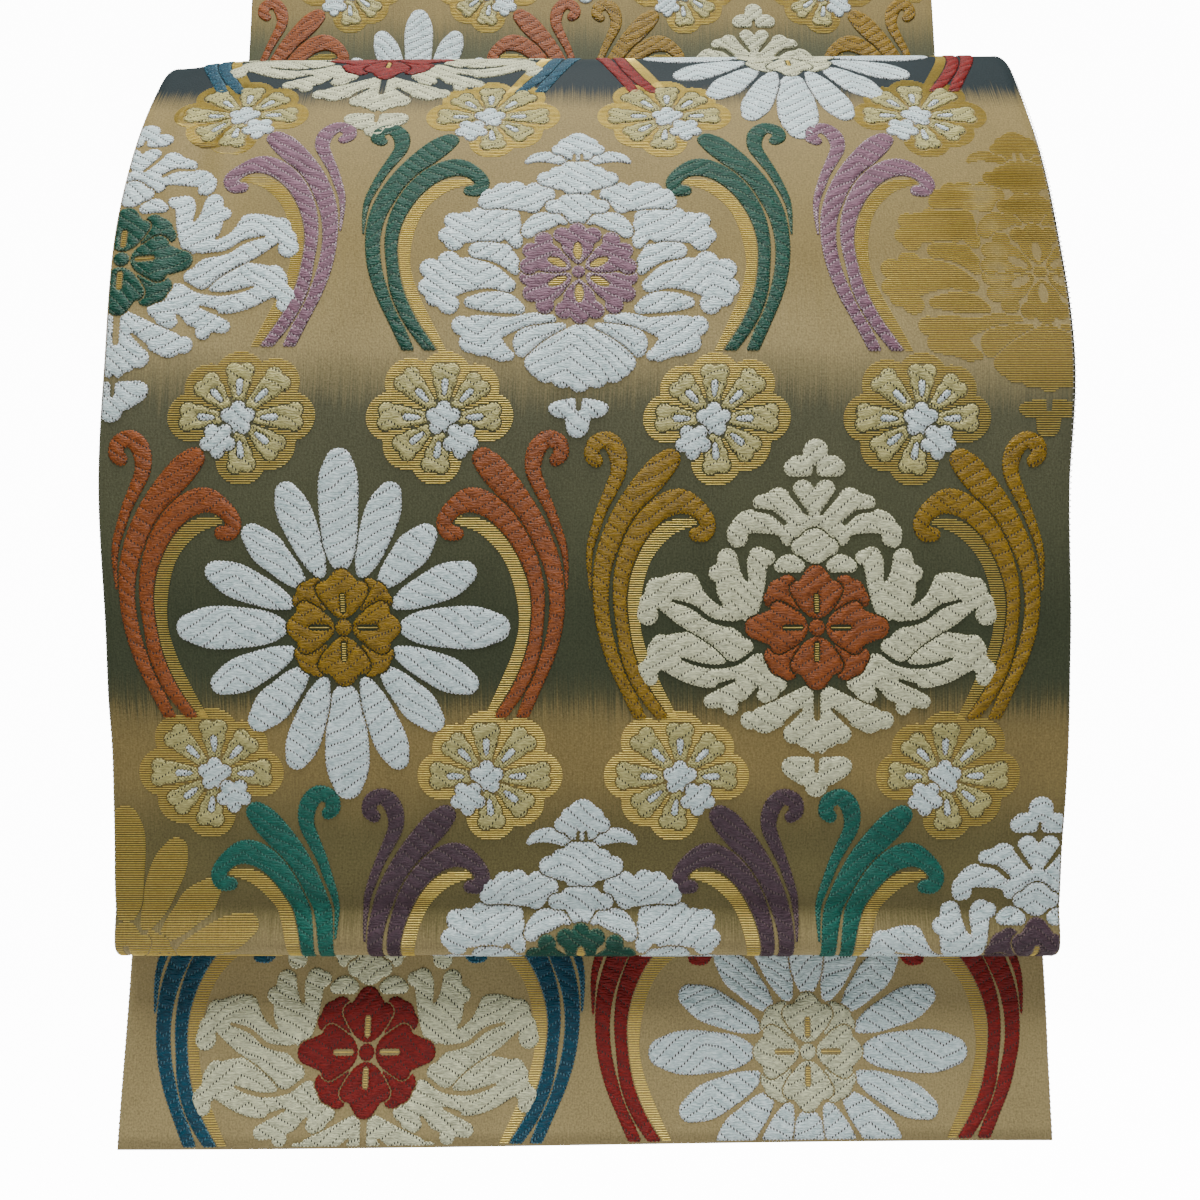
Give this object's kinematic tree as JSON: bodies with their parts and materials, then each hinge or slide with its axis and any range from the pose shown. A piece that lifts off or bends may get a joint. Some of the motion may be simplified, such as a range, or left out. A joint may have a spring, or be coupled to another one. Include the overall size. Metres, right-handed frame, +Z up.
{
  "type": "obi sash folded as a drum, hung over a bar",
  "caption": "Wide brocade sash with its lining, hung over a bar, folded into a hollow drum with a tail below it.",
  "frame": {"origin": "top of the hollow of the fold that hangs over the bar, at the middle of the cloth's width", "axes": "+X across the cloth to the viewer's right, -Y to the front, +Z up"},
  "size_m": [0.3119, 0.1266, 0.5617],
  "materials": {
    "brocade": "silk satin weave with gold wefts and raised figured floats",
    "lining": "plain dark herringbone weave"
  },
  "bodies": {
    "root": {"face_tail": "brocade", "face_drum": "brocade", "face_riser": "brocade", "face_back": "brocade", "lining_tail": "lining", "lining_drum": "lining", "lining_riser": "lining", "lining_back": "lining", "inner_folds": "lining"}
  },
  "joints": []
}
